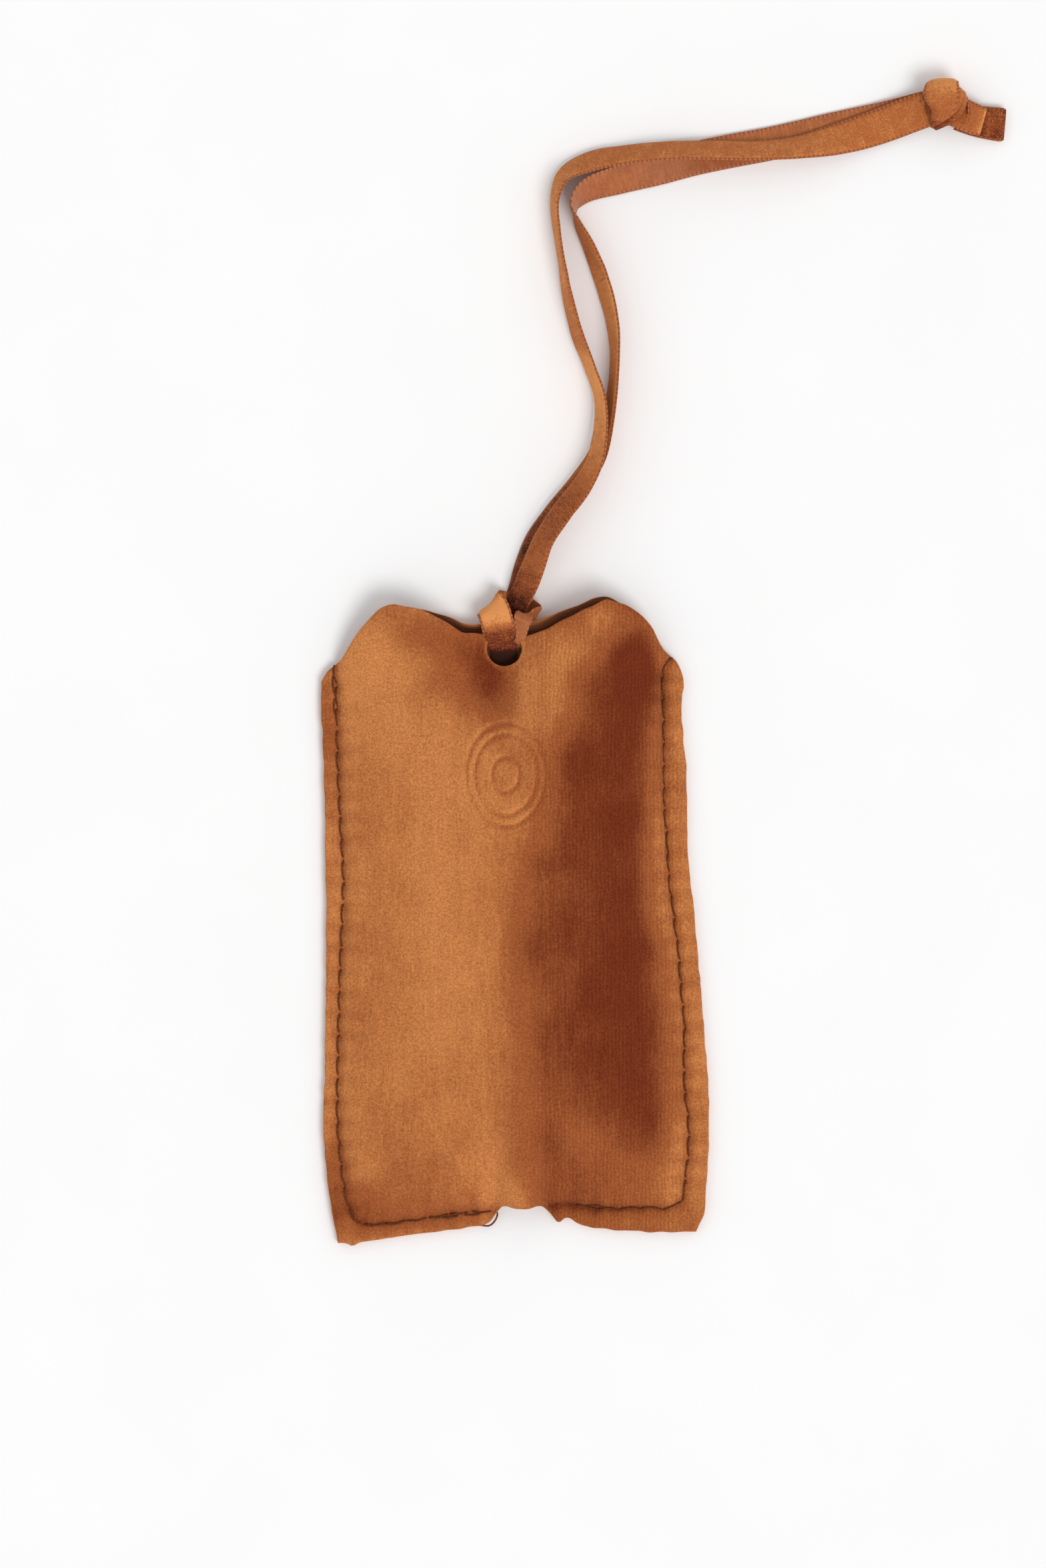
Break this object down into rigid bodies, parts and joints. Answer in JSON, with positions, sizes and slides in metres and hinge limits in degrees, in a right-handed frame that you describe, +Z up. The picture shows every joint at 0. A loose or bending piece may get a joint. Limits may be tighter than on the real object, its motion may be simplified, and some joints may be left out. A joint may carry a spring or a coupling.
{
  "type": "velour pouch with ribbon loop",
  "caption": "Small soft velour pouch, open at the top, sewn along its sides and bottom, with a knotted velvet ribbon loop hitched through a punched hole.",
  "frame": {"origin": "centre of the pouch's own box, on the surface that its back panel lies on; the ribbon isn't counted", "axes": "+X to the pouch's right, +Y along the pouch towards its mouth and ribbon, +Z up out of the front panel"},
  "size_m": [0.1282, 0.2177, 0.0099],
  "materials": {
    "velour": "velvet pile",
    "thread": "matte twisted thread",
    "ribbon": "velvet face with satin back"
  },
  "bodies": {
    "pouch": {"back_panel": "velour", "left_needle_thread": "thread", "left_bobbin_thread": "thread", "right_needle_thread": "thread", "right_bobbin_thread": "thread", "ribbon_hitch": "ribbon"},
    "pocket_front": {"front_panel": "velour"},
    "ribbon": {"ribbon_strand_front": "ribbon", "ribbon_strand_back": "ribbon", "ribbon_knot": "ribbon", "ribbon_tail_front": "ribbon", "ribbon_tail_back": "ribbon"}
  },
  "joints": [
    {"name": "pocket_flatten", "type": "slide", "parent": "pouch", "child": "pocket_front", "axis": [0, 0, -1], "range_m": [0, 0.005], "stiffness_N_per_m": 40, "deforming": ["front_panel"]},
    {"name": "ribbon_swing", "type": "hinge", "parent": "pouch", "child": "ribbon", "pos_m": [0.002, 0.063, 0], "axis": [0, 0, 1], "range_deg": [-35, 50]}
  ]
}
